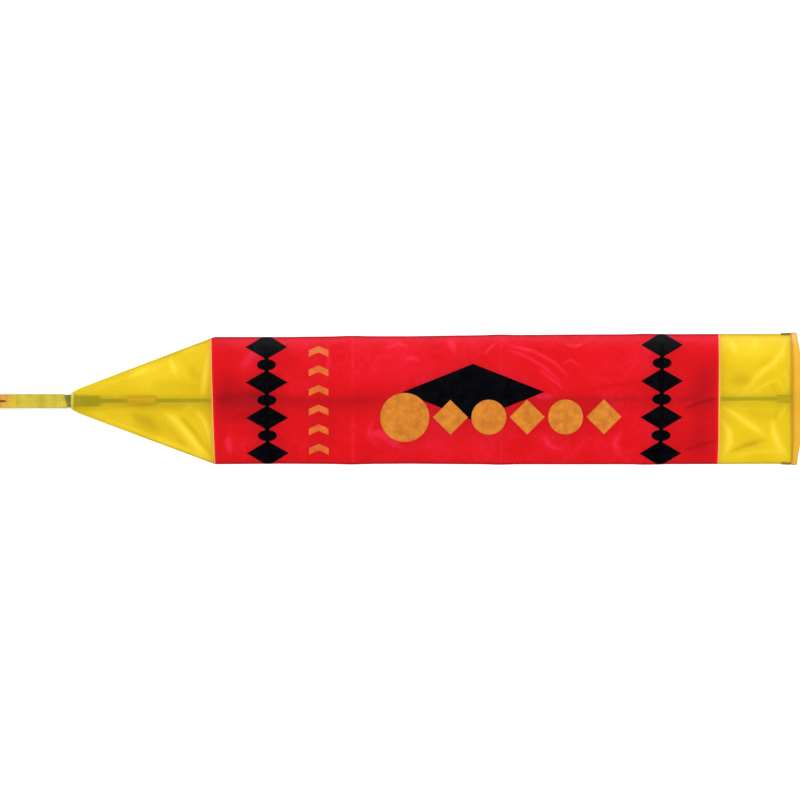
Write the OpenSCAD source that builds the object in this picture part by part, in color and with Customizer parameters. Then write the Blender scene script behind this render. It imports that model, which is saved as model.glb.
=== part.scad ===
// Windsock lying flat on a surface, with its slender two-piece pole stored along its axis.
// Stations run along the sock from the rim of the tip. +X points from the tip to the mouth,
// +Z is up, and the sock rests on Z = 0.

/* [Sock] */
// Width of the flattened tube
tube_w = 238; // [200:1:280]
// Width of the flattened mouth, with its stiffened hem
mouth_w = 242; // [204:1:284]
// Width of the flattened opening at the tip
tip_w = 37; // [34:1:44]
// Height of the tube as it lies
tube_h = 24; // [22:1:40]
// Height of the opening at the tip
tip_h = 13; // [13:0.5:18]
// Part of the width that stays level on top, at the tube and at the tip
crown_share = 0.5; // [0.48:0.01:0.6]
// Thickness of the cloth walls
cloth_t = 1.5; // [1:0.1:1.6]

/* [Lengths along the sock] */
// Rolled rim of the tip
rim_len = 3; // [2:0.5:5]
// End of the tip cone
cone_end = 258; // [220:1:280]
// End of the red middle panel
barrel_end = 1187; // [1150:1:1210]
// End of the mouth panel
band_end = 1324; // [1300:1:1330]
// Outer edge of the mouth hem
mouth_end = 1341; // [1340:1:1345]

/* [Seams and hem] */
// Width of the seam allowance that joins two panels
seam_w = 8; // [5:0.5:12]
// Thickness of the seam allowance that joins two panels
seam_t = 0.6; // [0.4:0.1:0.6]
// Width of the felled back seam
back_seam_w = 6.4; // [4:0.1:8]
// Thickness of the felled back seam
back_seam_t = 0.8; // [0.4:0.1:0.8]
// Thickness of each cloth layer in the mouth hem
hem_skin = 0.8; // [0.6:0.1:0.9]
// Thickness of the flexible stiffener in the mouth hem
boning_t = 1.2; // [0.8:0.1:1.2]

/* [Webbing] */
// Width of the tape outside the tip
tape_w = 25.4; // [20:0.1:26]
// Thickness of the tape
tape_t = 1.4; // [1:0.1:1.6]
// Width of the webbing inside the sock
web_w = 20; // [16:0.5:20]
// Where the webbing meets the tape outside the tip
tape_start = 11; // [9:0.5:14]
// Where the yellow tape meets its orange end loop
loop_start = 110; // [90:1:120]
// Width of the slit down the end loop
slit_w = 3.5; // [3:0.1:3.9]

/* [Pole] */
// Outer diameter of the pole
pole_d = 6.4; // [6:0.1:6.4]
// Diameter of the pin that joins the two halves
pin_d = 4; // [3.8:0.1:4]
// Height of the pole's axis above the surface
pole_z = 8; // [8:0.1:8.2]
// Diameter of the stop collar at the mouth
collar_d = 9.6; // [8:0.1:9.8]

/* [Prints] */
// Middle of the row of diamonds near the tip
row_tip = 359; // [340:1:380]
// Middle of the row of diamonds near the mouth
row_base = 1084; // [1060:1:1100]
// Distance from one oval to the next
row_pitch = 65; // [60:0.5:70]

/* [Hidden] */

$fn = 48;
hook_end = -189;                        // far end of the snap hook
tip_x = -(hook_end + mouth_end) / 2;    // X of the tip, with the middle of the whole part at X = 0
tape_z = 4.5;                           // height of the tape's middle
gap = 0.1;                              // clearance between pieces that move on each other
eps = 0.1;                              // how far a cut runs past a face

// Flattened tube sections: half width below, half width of the level top, height
barrel_section = [tube_w / 2, tube_w / 2 * crown_share, tube_h];
mouth_section = [mouth_w / 2, mouth_w / 2 * crown_share, tube_h + 1];
tip_section = [tip_w / 2, tip_w / 2 * crown_share, tip_h];

// Webbing pieces on the axis inside the sock
web_wall = 0.8;
web_base = cloth_t + back_seam_t;
web_top = pole_z + pole_d / 2 + gap + web_wall;
pocket_body = [26, 51];
loop_span = [101, 153];
mouth_tab_span = [1300, 1323];
mouth_tab_w = 14;
edge_tab_span = [1303, 1323];
edge_tab_w = 2.5;
edge_tab_h = 3;

// Pole
nose_tip = 31;
nose_len = 6;
pole_joint = 683;
pole_end = 1336;
pin_reach = 50;
hollow_d = 3.2;
socket_len = 40;
socket_d = 4.2;
collar_len = 12;

// Swivel and snap hook; the middle of the eye is the pivot on the end loop
eye_at = -153;
eye_wire = 0.7;
eye_r = 3.8;
bar_w = 5.2;
slit_margin = 10;
barrel_span = [-170, -160];
swivel_r = tape_z;
swivel_wall = 1.5;
stem_r = 1;
head_r = 2;
head_len = 1.6;
hook_wire = 0.7;
hook_r = 3.7;
hook_root = -174;
gate_span = [-184.3, -178.5];
gate_wire = 0.6;

// Prints
ink_t = 0.3;
diamond = [77, 45];
diamond_outer = 23.5;
oval = [35, 20.5];
neck_w = 7;
mark_at = 454;
mark_size = [36, 20];
mark_pitch = 36;
disc_at = 612;
disc_d = 90;
bead_first = 696;
bead_pitch = 70.5;
bead_size = 64;
bead_y = -32;
lozenge_at = 738;
lozenge = [262, 104];
lozenge_y = 14;

// Half width of a section at height z, moved inwards by inset
function half_at(section, inset, z) =
    let (run = section[0] - section[1], slant = sqrt(run * run + section[2] * section[2]))
    section[0] - (inset * slant + run * z) / section[2];

module tube_outline(section, inset) {
    low = half_at(section, inset, inset);
    high = half_at(section, inset, section[2] - inset);
    polygon([[-low, inset], [low, inset], [high, section[2] - inset], [-high, section[2] - inset]]);
}

// Extrudes a Y-Z outline along X between two stations
module along(from, to) {
    translate([tip_x + from, 0, 0]) rotate([90, 0, 90]) linear_extrude(to - from) children();
}

module flat_tube(section, from, to, outer, inner) {
    difference() {
        along(from, to) tube_outline(section, outer);
        along(from - eps, to + eps) tube_outline(section, inner);
    }
}

module rod(from, to, r, z) {
    translate([tip_x + from, 0, z]) rotate([0, 90, 0]) cylinder(h = to - from, r = r);
}

module slab(span, width, low, high) {
    translate([tip_x + span[0], -width / 2, low]) cube([span[1] - span[0], width, high - low]);
}

// Cloth panels

module cone_body(inset, over) {
    hull() {
        along(rim_len - over, rim_len - over + eps) tube_outline(tip_section, inset);
        along(cone_end + over - eps, cone_end + over) tube_outline(barrel_section, inset);
    }
}

module tip_cone() {
    color("gold") difference() {
        cone_body(0, 0);
        cone_body(cloth_t, eps);
    }
}

module tip_rim() {
    color("khaki") flat_tube(tip_section, 0, rim_len, 0, cloth_t + 1);
}

module barrel() {
    color("red") flat_tube(barrel_section, cone_end, barrel_end, 0, cloth_t);
}

module base_band() {
    color("gold") flat_tube(barrel_section, barrel_end, band_end, 0, cloth_t);
}

module boning_band() {
    flat_tube(mouth_section, band_end + 3, mouth_end - 3, hem_skin, hem_skin + boning_t);
}

module mouth_hem() {
    color("orange") difference() {
        flat_tube(mouth_section, band_end, mouth_end, 0, 2 * hem_skin + boning_t);
        boning_band();
    }
}

module mouth_boning() {
    color("white") boning_band();
}

// Seams, all on the inside

module cone_seam() {
    color("darkorange") flat_tube(barrel_section, cone_end, cone_end + seam_w, cloth_t, cloth_t + seam_t);
}

module band_seam() {
    color("darkred") flat_tube(barrel_section, barrel_end - seam_w, barrel_end, cloth_t, cloth_t + seam_t);
}

module back_seam(from, to) {
    slab([from, to], back_seam_w, cloth_t, cloth_t + back_seam_t);
}

module cone_back_seam() {
    color("goldenrod") back_seam(rim_len, cone_end);
}

module barrel_back_seam() {
    color("firebrick") back_seam(cone_end + seam_w, barrel_end - seam_w);
}

module band_back_seam() {
    color("goldenrod") back_seam(barrel_end, band_end);
}

// Webbing inside the sock

module pole_sleeve(span, width, bore_from, bore_to) {
    difference() {
        slab(span, width, web_base, web_top);
        rod(bore_from, bore_to, pole_d / 2 + gap, pole_z);
    }
}

module tip_pocket() {
    color("olivedrab") union() {
        pole_sleeve(pocket_body, web_w, nose_tip - gap, pocket_body[1] + eps);
        slab([-tape_start, pocket_body[0]], web_w, tape_z - tape_t / 2, tape_z + tape_t / 2);
    }
}

module pole_loop() {
    color("chocolate") pole_sleeve(loop_span, web_w, loop_span[0] - eps, loop_span[1] + eps);
}

module mouth_tab() {
    color("peru") pole_sleeve(mouth_tab_span, mouth_tab_w, mouth_tab_span[0] - eps, mouth_tab_span[1] + eps);
}

module edge_tabs() {
    color("dimgray") for (side = [-1, 1]) {
        difference() {
            translate([tip_x + edge_tab_span[0], side * (tube_w / 2 - 0.5) - edge_tab_w / 2, 0])
                cube([edge_tab_span[1] - edge_tab_span[0], edge_tab_w, edge_tab_h]);
            along(edge_tab_span[0] - eps, edge_tab_span[1] + eps) tube_outline(barrel_section, 0);
        }
    }
}

// Prints: flat shapes laid on the barrel's top and its sloping edges

module print_on_barrel() {
    intersection() {
        translate([tip_x, 0, 2]) linear_extrude(tube_h) children();
        flat_tube(barrel_section, cone_end, barrel_end, -ink_t, 0);
    }
}

module lozenge_2d(size) {
    x = size[0] / 2;
    y = size[1] / 2;
    polygon([[-x, 0], [0, y], [x, 0], [0, -y]]);
}

module oval_2d(size) {
    straight = size[0] - size[1];
    square([straight, size[1]], center = true);
    for (side = [-1, 1])
        translate([side * straight / 2, 0]) circle(d = size[1]);
}

module kite_2d(length, low, high) {
    polygon([[-length / 2, 0], [0, high], [length / 2, 0], [0, -low]]);
}

// Diamonds and ovals in turn across the tube, joined by a narrow neck
module diamond_row(station) {
    inner = diamond[1] / 2;
    for (i = [-1 : 1])
        translate([station, i * row_pitch]) oval_2d(oval);
    for (i = [-2 : 1])
        translate([station, (i + 0.5) * row_pitch])
            kite_2d(diamond[0], i == -2 ? diamond_outer : inner, i == 1 ? diamond_outer : inner);
    translate([station, 0]) square([neck_w, 3 * row_pitch], center = true);
}

module chevron_2d(size) {
    x = size[0] / 2;
    y = size[1] / 2;
    polygon([[-x, -y], [0, -y / 5], [x, -y], [x, y / 5], [0, y], [-x, y / 5]]);
}

module diamonds_tip() {
    color("black") print_on_barrel() diamond_row(row_tip);
}

module diamonds_base() {
    color("black") print_on_barrel() diamond_row(row_base);
}

module side_mark() {
    color("orangered") print_on_barrel() for (i = [-2.5 : 2.5])
        translate([mark_at, i * mark_pitch]) chevron_2d(mark_size);
}

module emblem_row_2d() {
    translate([disc_at, bead_y]) circle(d = disc_d);
    for (i = [0 : 4])
        translate([bead_first + i * bead_pitch, bead_y])
            if (i % 2 == 0) lozenge_2d([bead_size, bead_size]);
            else circle(d = bead_size);
}

module emblem_row() {
    color("orange") print_on_barrel() emblem_row_2d();
}

module emblem_shade() {
    color("black") print_on_barrel() difference() {
        translate([lozenge_at, lozenge_y]) lozenge_2d(lozenge);
        emblem_row_2d();
    }
}

// Tape outside the tip

module tail_tape() {
    color("yellow") slab([-loop_start, -tape_start], tape_w, tape_z - tape_t / 2, tape_z + tape_t / 2);
}

module tail_loop() {
    r = tape_w / 2;
    far = eye_at - bar_w / 2;
    slit_from = eye_at + bar_w / 2 + slit_w / 2;
    slit_to = -loop_start - slit_margin;
    color("darkorange") translate([tip_x, 0, tape_z - tape_t / 2]) linear_extrude(tape_t) difference() {
        union() {
            translate([far + r, -r]) square([-loop_start - far - r, tape_w]);
            translate([far + r, 0]) circle(r = r);
        }
        translate([slit_from, -slit_w / 2]) square([slit_to - slit_from, slit_w]);
        for (x = [slit_from, slit_to])
            translate([x, 0]) circle(d = slit_w);
    }
}

// Swivel and snap hook

module ring(r, wire) {
    rotate_extrude() translate([r, 0]) circle(r = wire);
}

module swivel_eye() {
    color("silver") union() {
        translate([tip_x + eye_at, 0, tape_z]) rotate([90, 0, 0]) ring(eye_r, eye_wire);
        rod(barrel_span[1] - swivel_wall - gap, eye_at - eye_r - eye_wire / 2, stem_r, tape_z);
        rod(barrel_span[1] - swivel_wall - gap - head_len, barrel_span[1] - swivel_wall - gap, head_r, tape_z);
    }
}

module swivel_barrel() {
    color("goldenrod") difference() {
        rod(barrel_span[0], barrel_span[1], swivel_r, tape_z);
        rod(barrel_span[0] - eps, barrel_span[1] + eps, stem_r + gap, tape_z);
        rod(barrel_span[0] + swivel_wall, barrel_span[1] - swivel_wall, head_r + gap, tape_z);
    }
}

module hook_wire_rod(from, to, y, r) {
    translate([tip_x, y, tape_z]) rotate([0, 90, 0]) translate([0, 0, from]) cylinder(h = to - from, r = r);
}

module hook_arc(station, turn) {
    translate([tip_x + station, 0, tape_z]) rotate(turn)
        rotate_extrude(angle = 180) translate([hook_r, 0]) circle(r = hook_wire);
}

module snap_hook() {
    neck = barrel_span[0] + swivel_wall + gap;
    near = hook_root - hook_r;
    far = hook_end + hook_r + hook_wire;
    color("silver") union() {
        hook_wire_rod(hook_root, neck, 0, stem_r);
        hook_wire_rod(neck, neck + head_len, 0, head_r);
        hook_wire_rod(far, near, hook_r, hook_wire);
        hook_arc(near, -90);
        hook_arc(far, 90);
    }
}

module snap_gate() {
    color("gainsboro") union() {
        hook_wire_rod(gate_span[0], gate_span[1], -hook_r, gate_wire);
        translate([tip_x + gate_span[1], -hook_r, tape_z]) sphere(r = gate_wire);
    }
}

// Pole

module pole_upper() {
    color("dimgray") difference() {
        rod(nose_tip + nose_len, pole_joint, pole_d / 2, pole_z);
        rod(nose_tip, pole_joint + eps, hollow_d / 2, pole_z);
        rod(pole_joint - pin_reach, pole_joint + eps, pin_d / 2, pole_z);
    }
}

module pole_cap() {
    r = pole_d / 2;
    color("black") union() {
        intersection() {
            translate([tip_x + nose_tip + r, 0, pole_z]) sphere(r = r);
            rod(nose_tip, nose_tip + r, r, pole_z);
        }
        rod(nose_tip + r, nose_tip + nose_len, r, pole_z);
        rod(nose_tip + nose_len, nose_tip + nose_len + 10, hollow_d / 2, pole_z);
    }
}

module pole_pin() {
    color("silver") rod(pole_joint - pin_reach, pole_joint + pin_reach, pin_d / 2, pole_z);
}

module pole_lower() {
    color("dimgray") difference() {
        rod(pole_joint, pole_end, pole_d / 2, pole_z);
        rod(pole_joint - eps, pole_end + eps, hollow_d / 2, pole_z);
        rod(pole_joint - eps, pole_joint + pin_reach + 1, pin_d / 2 + gap / 2, pole_z);
        rod(pole_end - socket_len, pole_end + eps, socket_d / 2, pole_z);
    }
}

module pole_collar() {
    color("black") difference() {
        rod(pole_end - collar_len, pole_end, collar_d / 2, pole_z);
        rod(pole_end - collar_len - eps, pole_end + eps, pole_d / 2, pole_z);
    }
}

tip_cone();
tip_rim();
barrel();
base_band();
mouth_hem();
mouth_boning();
cone_seam();
band_seam();
cone_back_seam();
barrel_back_seam();
band_back_seam();
tip_pocket();
pole_loop();
mouth_tab();
edge_tabs();
diamonds_tip();
diamonds_base();
side_mark();
emblem_row();
emblem_shade();
tail_tape();
tail_loop();
swivel_eye();
swivel_barrel();
snap_hook();
snap_gate();
pole_upper();
pole_cap();
pole_pin();
pole_lower();
pole_collar();
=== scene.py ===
from math import cos, pi, radians, sin, sqrt

import bpy
import numpy as np
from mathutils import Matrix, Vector


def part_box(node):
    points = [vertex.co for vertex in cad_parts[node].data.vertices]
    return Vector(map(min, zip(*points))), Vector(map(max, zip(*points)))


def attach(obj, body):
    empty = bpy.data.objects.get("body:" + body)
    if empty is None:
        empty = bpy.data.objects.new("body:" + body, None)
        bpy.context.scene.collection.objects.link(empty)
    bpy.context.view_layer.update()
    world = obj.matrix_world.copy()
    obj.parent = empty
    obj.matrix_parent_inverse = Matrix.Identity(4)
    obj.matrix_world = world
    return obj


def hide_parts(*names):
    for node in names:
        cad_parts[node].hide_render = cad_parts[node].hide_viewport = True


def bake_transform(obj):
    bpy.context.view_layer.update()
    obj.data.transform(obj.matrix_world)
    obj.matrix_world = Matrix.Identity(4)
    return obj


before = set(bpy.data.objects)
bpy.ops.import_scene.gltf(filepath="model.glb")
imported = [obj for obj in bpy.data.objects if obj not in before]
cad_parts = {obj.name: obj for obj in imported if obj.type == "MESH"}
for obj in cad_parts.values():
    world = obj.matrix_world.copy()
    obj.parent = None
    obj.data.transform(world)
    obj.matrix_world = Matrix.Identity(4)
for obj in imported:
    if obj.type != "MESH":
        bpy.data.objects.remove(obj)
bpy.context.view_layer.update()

# ---- Measures
# Lengths are millimetres in the script, with stations counted along the sock from
# the rim of the tip. place() turns them into the frame's metres.

MM = 0.001
TIP_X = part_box("tip_rim")[0].x


def span(node):
    """First and last station of a CAD node."""
    low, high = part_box(node)
    return (low.x - TIP_X) / MM, (high.x - TIP_X) / MM


def middle(node):
    return sum(span(node)) / 2


def size(node, axis):
    """Size of a CAD node along X, Y or Z (0, 1 or 2)."""
    low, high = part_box(node)
    return (high[axis] - low[axis]) / MM


CONE_END = span("tip_cone")[1]
BARREL_END = span("barrel")[1]
BAND_END = span("base_band")[1]
MOUTH_END = span("mouth_hem")[1]
POLE_Z, TAPE_Z = (sum(corner.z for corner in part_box(node)) / 2 / MM for node in ("pole_upper", "tail_tape"))
TAPE_W = size("tail_tape", 1)
TAPE_END = span("tail_loop")[1]
TAPE_START = span("tail_tape")[1]
EYE_AT = -153.0        # middle of the swivel's eye, round the bar at the end of the tape
BAR_W = 5.2            # length of that bar, along the tape
SLIT_W = 3.5
SWIVEL_BORE = 1.1      # radius of the holes in the swivel's body for the two stems
SWIVEL_HOLLOW = 2.1    # radius of the space for the stems' heads

GROUND = 0.35          # height of the lower cloth above the surface
INK = 0.25             # how far a print stands off the cloth
CLOTH_GAP = 0.5        # least distance between the upper and the lower cloth, at the folded edges


def place(s, y, z):
    """Frame coordinates, in metres, of arrays or numbers given in millimetres."""
    return np.stack(np.broadcast_arrays(s, y, z), -1) * MM + (TIP_X, 0, 0)


def smooth(t):
    t = np.clip(t, 0, 1)
    return t * t * (3 - 2 * t)


def bell(t):
    return np.exp(-(t ** 2))


# ---- Stage, light and camera

VIEW_WIDTH = 1.472       # width of what the camera sees at the sock, in metres
CAMERA_HEIGHT = 5.0
CAMERA_STATION = 603.5
CAMERA_ROLL = -0.18      # degrees
SOCK_HEIGHT = 0.010
SENSOR = 36              # width of the camera's sensor, in millimetres
FLOOR_HALF = 8


def new_object(name, data):
    obj = bpy.data.objects.new(name, data)
    bpy.context.scene.collection.objects.link(obj)
    return obj


def make_camera():
    data = bpy.data.cameras.new("camera")
    camera = new_object("camera", data)
    camera.location = (TIP_X + CAMERA_STATION * MM, 0.0, CAMERA_HEIGHT + SOCK_HEIGHT)
    camera.rotation_euler = (0, 0, radians(CAMERA_ROLL))
    data.sensor_width = SENSOR
    data.lens = SENSOR * CAMERA_HEIGHT / VIEW_WIDTH
    bpy.context.scene.camera = camera


def make_floor():
    mesh = bpy.data.meshes.new("floor")
    corners = [(x * FLOOR_HALF, y * FLOOR_HALF, 0) for x, y in ((-1, -1), (1, -1), (1, 1), (-1, 1))]
    mesh.from_pydata(corners, [], [(0, 1, 2, 3)])
    floor = new_object("floor", mesh)
    nt = node_material("floor_white")
    output(nt, add(nt, "BsdfPrincipled", {"Base Color": (0.97, 0.97, 0.97, 1), "Roughness": 0.9}))
    mesh.materials.append(MATERIALS["floor_white"])


def make_light():
    world = bpy.data.worlds.new("studio")
    bpy.context.scene.world = world
    world.use_nodes = True
    background = world.node_tree.nodes["Background"]
    background.inputs["Color"].default_value = (1, 1, 1, 1)
    background.inputs["Strength"].default_value = 0.93
    world.cycles_visibility.glossy = False
    for name, at, extent, power, glossy in (
        ("key", (0.1, 2.6, 1.9), (2.6, 0.6), 66.0, True),
        ("fill", (0.6, -1.5, 2.2), (2.4, 1.2), 32.0, False),
    ):
        light = bpy.data.lights.new(name, "AREA")
        light.shape = "RECTANGLE"
        light.size, light.size_y = extent
        light.energy = power
        lamp = new_object(name, light)
        lamp.location = at
        lamp.rotation_mode = "QUATERNION"
        lamp.rotation_quaternion = (-Vector(at)).to_track_quat("-Z", "Y")
        lamp.visible_glossy = glossy


# ---- Materials

MATERIALS = {}


def node_material(name):
    """The empty node tree of a new material, which MATERIALS keeps under this name."""
    MATERIALS[name] = bpy.data.materials.new(name)
    MATERIALS[name].use_nodes = True
    nt = MATERIALS[name].node_tree
    nt.nodes.clear()
    return nt


def add(nt, kind, sockets=None, **settings):
    """A shader node. sockets holds a value for each input, or another node's output to link to it."""
    n = nt.nodes.new("ShaderNode" + kind)
    for key, value in settings.items():
        setattr(n, key, value)
    for key, value in (sockets or {}).items():
        if isinstance(value, bpy.types.NodeSocket):
            nt.links.new(value, n.inputs[key])
        else:
            n.inputs[key].default_value = value
    return n


def output(nt, shader):
    add(nt, "OutputMaterial", {"Surface": shader.outputs[0]})


def object_coords(nt, scale=(1, 1, 1), turn=0.0):
    coords = add(nt, "TexCoord").outputs["Object"]
    turned = {"Vector": coords, "Scale": scale, "Rotation": (0, 0, radians(turn))}
    return add(nt, "Mapping", turned).outputs["Vector"]


def noise_node(nt, vector, scale, detail, roughness=0.5):
    sockets = {"Vector": vector, "Scale": scale, "Detail": detail, "Roughness": roughness}
    return add(nt, "TexNoise", sockets).outputs["Fac"]


def ramp(nt, fac, stops):
    r = add(nt, "ValToRGB", {"Fac": fac})
    elements = r.color_ramp.elements
    while len(elements) < len(stops):
        elements.new(0.5)
    for e, (at, colour) in zip(elements, stops):
        e.position = at
        e.color = (*colour, 1)
    return r.outputs["Color"]


def math_node(nt, operation, *values):
    return add(nt, "Math", dict(enumerate(values)), operation=operation).outputs[0]


def weighted(nt, a, share_a, b, share_b):
    return math_node(nt, "ADD", math_node(nt, "MULTIPLY", a, share_a), math_node(nt, "MULTIPLY", b, share_b))


def scaled(nt, value, factor, offset):
    return math_node(nt, "ADD", math_node(nt, "MULTIPLY", value, factor), offset)


def bump(nt, height, distance_mm, strength, **normal):
    sockets = {"Height": height, "Distance": distance_mm * MM, "Strength": strength, **normal}
    return add(nt, "Bump", sockets).outputs["Normal"]


def principled(nt, colour, normal, roughness, extra=None):
    sockets = {"Base Color": colour, "Normal": normal, "Roughness": roughness, **(extra or {})}
    return add(nt, "BsdfPrincipled", sockets)


def grid_lines(nt, vector, pitch_mm, share):
    """1 on thin lines of a square grid in X and Y, 0 between."""
    split = add(nt, "SeparateXYZ", {0: vector})
    lines = []
    for axis in ("X", "Y"):
        wave = math_node(nt, "SINE", math_node(nt, "MULTIPLY", split.outputs[axis], pi / (pitch_mm * MM)))
        lines.append(math_node(nt, "GREATER_THAN", math_node(nt, "ABSOLUTE", wave), cos(pi * share / 2)))
    return math_node(nt, "MAXIMUM", *lines)


def tone_with_painted_light(nt):
    """The tone stored on the mesh: changes of colour, and painted highlights and painted shade. 0.5 is the plain
    colour.
    """
    return add(nt, "Attribute", attribute_name="tone").outputs["Fac"]


def cloth_crinkle(nt, rip=None):
    crinkle = noise_node(nt, object_coords(nt, (1.0, 1.6, 1.0)), 55.0, 3.0, 0.6)
    normal = bump(nt, crinkle, 0.5, 0.4)
    return normal if rip is None else bump(nt, rip, 0.05, 0.5, Normal=normal)


def nylon(name, dark, base, light, see_through, gloss=0.5, glint=(1, 1, 1)):
    """Thin ripstop nylon: it lets some light and some sight through, and has a soft satin gloss. dark and light are the
    painted shade and painted highlight colours that the mesh's tone reaches.
    """
    nt = node_material(name)
    vector = object_coords(nt)
    tone = tone_with_painted_light(nt)
    # random unevenness of the colour, plus painted highlights and painted shade from the mesh's tone
    dye_and_painted_light = weighted(nt, noise_node(nt, object_coords(nt), 14.0, 4.0, 0.6), 0.35, tone, 0.65)
    colour = ramp(nt, dye_and_painted_light, ((0.08, dark), (0.50, base), (0.80, light)))
    rip = grid_lines(nt, vector, 5.0, 0.1)
    shade = {"Factor": math_node(nt, "MULTIPLY", rip, 0.10), "A": colour, "B": (0.55, 0.55, 0.55, 1)}
    colour = add(nt, "Mix", shade, data_type="RGBA", blend_type="MULTIPLY").outputs["Result"]
    normal = cloth_crinkle(nt, rip)
    rough = scaled(nt, noise_node(nt, vector, 40.0, 2.0), 0.14, 0.26)
    finish = {"Specular IOR Level": gloss, "Specular Tint": (*glint, 1), "Sheen Weight": 0.04, "Sheen Roughness": 0.4}
    body = principled(nt, colour, normal, rough, finish)
    through = add(nt, "BsdfTranslucent", {"Color": colour, "Normal": normal})
    clear = add(nt, "BsdfTransparent", {"Color": (*light, 1)})
    for other, share in ((through, 0.42), (clear, see_through)):
        body = add(nt, "MixShader", {"Fac": share, 1: body.outputs[0], 2: other.outputs[0]})
    output(nt, body)


def ink(name, dark, base, roughness, gloss):
    """Print on the nylon: opaque, with the cloth's own crinkle and a little unevenness."""
    nt = node_material(name)
    vector = object_coords(nt)
    colour = ramp(nt, noise_node(nt, vector, 55.0, 5.0, 0.7), ((0.35, dark), (0.62, base)))
    rough = scaled(nt, noise_node(nt, vector, 60.0, 2.0), 0.15, roughness - 0.07)
    output(nt, principled(nt, colour, cloth_crinkle(nt), rough, {"Specular IOR Level": gloss}))


def webbing(name, dark, light, worn=None):
    """Woven tape: ribs across it, a fine twill on top, and worn, uneven dye. worn is the colour past light."""
    nt = node_material(name)
    split = add(nt, "SeparateXYZ", {0: object_coords(nt)})
    waves = []
    for axis, pitch_mm in (("X", 1.6), ("Y", 2.4)):
        waves.append(math_node(nt, "SINE", math_node(nt, "MULTIPLY", split.outputs[axis], 2 * pi / (pitch_mm * MM))))
    weave = scaled(nt, math_node(nt, "MULTIPLY", *waves), 0.5, 0.5)
    streaks = noise_node(nt, object_coords(nt, (0.5, 1.6, 1.0), 32.0), 70.0, 5.0, 0.65)
    # the mesh's tone brings painted shade and painted highlights of some tapes into the colour
    dye_and_painted_light = math_node(nt, "SUBTRACT", weighted(nt, streaks, 0.75, tone_with_painted_light(nt), 0.55), 0.15)
    stops = ((0.18, dark), (0.72, light)) if worn is None else ((0.18, dark), (0.55, light), (0.72, worn))
    colour = ramp(nt, weighted(nt, weave, 0.2, dye_and_painted_light, 0.8), stops)
    rough = scaled(nt, streaks, 0.25, 0.5)
    output(nt, principled(nt, colour, bump(nt, weave, 0.3, 0.8), rough, {"Sheen Weight": 0.06}))


def thread(name, dark, light):
    """Twisted sewing thread."""
    nt = node_material(name)
    strands = noise_node(nt, object_coords(nt, (1, 1, 1), 40.0), 900.0, 2.0)
    colour = ramp(nt, strands, ((0.35, dark), (0.62, light)))
    normal = bump(nt, strands, 0.1, 0.6)
    output(nt, principled(nt, colour, normal, scaled(nt, strands, 0.2, 0.45), {"Sheen Weight": 0.3}))


def metal(name, dark, light, roughness):
    """Drawn or turned metal, worn in streaks along X."""
    nt = node_material(name)
    vector = object_coords(nt, (1, 4, 4))
    wear = noise_node(nt, vector, 260.0, 4.0, 0.7)
    rough = scaled(nt, wear, 0.25, roughness - 0.1)
    normal = bump(nt, noise_node(nt, vector, 900.0, 2.0), 0.05, 0.4)
    output(nt, principled(nt, ramp(nt, wear, ((0.35, dark), (0.6, light))), normal, rough, {"Metallic": 0.6}))


def moulded(name, dark, light, roughness, grain=900.0, stretch=(1, 1, 1)):
    """Plastic, rubber or pultruded glass fibre, with a fine grain."""
    nt = node_material(name)
    vector = object_coords(nt, stretch)
    tone = noise_node(nt, vector, 120.0, 4.0, 0.6)
    rough = scaled(nt, tone, 0.2, roughness - 0.1)
    normal = bump(nt, noise_node(nt, vector, grain, 2.0), 0.05, 0.5)
    output(nt, principled(nt, ramp(nt, tone, ((0.35, dark), (0.65, light))), normal, rough))


# The light colours of the yellow and red nylon are painted highlights, pink on the red; their dark colours are painted
# shade.
nylon("yellow_nylon", (0.44, 0.34, 0.022), (0.79, 0.67, 0.022), (0.97, 0.87, 0.12),
      see_through=0.52, glint=(1, 0.96, 0.7))
nylon("red_nylon", (0.4, 0.008, 0.014), (0.8, 0.011, 0.015), (0.93, 0.03, 0.075),
      see_through=0.3, gloss=0.26, glint=(1, 0.42, 0.75))
nylon("hem_nylon", (0.56, 0.3, 0.01), (0.8, 0.47, 0.02), (0.95, 0.62, 0.08), 0.05)
nylon("rim_binding", (0.5, 0.4, 0.03), (0.76, 0.66, 0.07), (0.92, 0.82, 0.16), 0.05)
nylon("seam_yellow", (0.3, 0.2, 0.008), (0.4, 0.28, 0.01), (0.5, 0.36, 0.02), 0.02)
nylon("seam_red", (0.2, 0.004, 0.006), (0.28, 0.006, 0.008), (0.36, 0.01, 0.012), 0.02)
# The welt's pale orange is a painted highlight along the seam's folded edge.
nylon("seam_welt_painted_highlight", (0.8, 0.36, 0.05), (0.95, 0.52, 0.11), (0.98, 0.64, 0.2), 0.02)
ink("black_print", (0.0006, 0.0006, 0.001), (0.0018, 0.002, 0.004), 0.46, 0.06)
ink("orange_print", (0.38, 0.11, 0.009), (0.52, 0.175, 0.013), 0.5, 0.2)
ink("orange_mark", (0.46, 0.075, 0.01), (0.58, 0.115, 0.016), 0.5, 0.2)
webbing("green_webbing", (0.012, 0.02, 0.003), (0.26, 0.24, 0.022))
webbing("orange_webbing", (0.13, 0.028, 0.002), (0.6, 0.28, 0.008), (0.52, 0.4, 0.014))
webbing("yellow_webbing", (0.28, 0.19, 0.005), (0.58, 0.47, 0.018))
webbing("tab_webbing", (0.1, 0.05, 0.01), (0.3, 0.16, 0.03))
thread("pale_thread", (0.62, 0.44, 0.07), (0.88, 0.7, 0.2))
thread("red_thread", (0.34, 0.01, 0.012), (0.56, 0.02, 0.02))
thread("brown_thread", (0.16, 0.08, 0.02), (0.3, 0.17, 0.04))
metal("swivel_steel", (0.45, 0.45, 0.46), (0.75, 0.75, 0.76), 0.28)
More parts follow.
